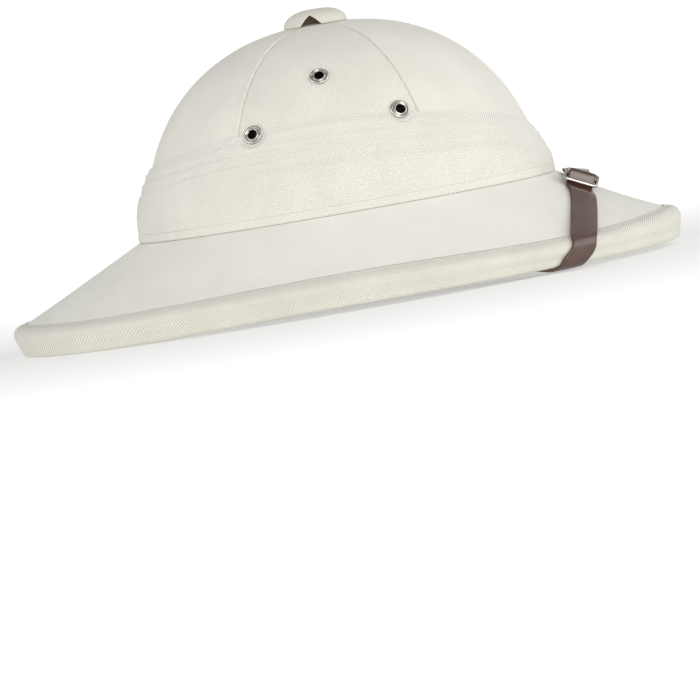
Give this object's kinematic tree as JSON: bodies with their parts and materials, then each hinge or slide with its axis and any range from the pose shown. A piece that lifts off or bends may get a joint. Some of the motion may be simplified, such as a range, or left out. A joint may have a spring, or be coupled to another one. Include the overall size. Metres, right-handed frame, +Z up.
{
  "type": "pith helmet",
  "caption": "White cloth-covered pith helmet with a folded puggaree, nickel eyelets and a leather chin strap over the front brim.",
  "frame": {"origin": "on the floor, midway between the brim's front and rear tips and between its sides", "axes": "+X to the front of the helmet, +Y to the wearer's left, +Z up"},
  "size_m": [0.3608, 0.294, 0.1549],
  "materials": {
    "drill_crown": "matt",
    "drill_brim": "matt",
    "drill_binding": "matt",
    "puggaree_cloth": "matt",
    "strap_leather": "satin",
    "nickel": "polished"
  },
  "bodies": {
    "root": {"crown": "drill_crown", "brim": "drill_brim", "brim_binding": "drill_binding", "puggaree_band": "puggaree_cloth", "puggaree_fold_low": "puggaree_cloth", "puggaree_fold_mid": "puggaree_cloth", "puggaree_fold_top": "puggaree_cloth", "puggaree_foot_roll": "puggaree_cloth", "vent_cap": "drill_crown", "eyelet_right_rear": "nickel", "eyelet_right_top": "nickel", "eyelet_right_front": "nickel", "eyelet_left_rear": "nickel", "eyelet_left_top": "nickel", "eyelet_left_front": "nickel", "chin_strap": "strap_leather", "strap_slide": "nickel", "strap_rivet_right": "nickel", "strap_rivet_left": "nickel"}
  },
  "joints": []
}
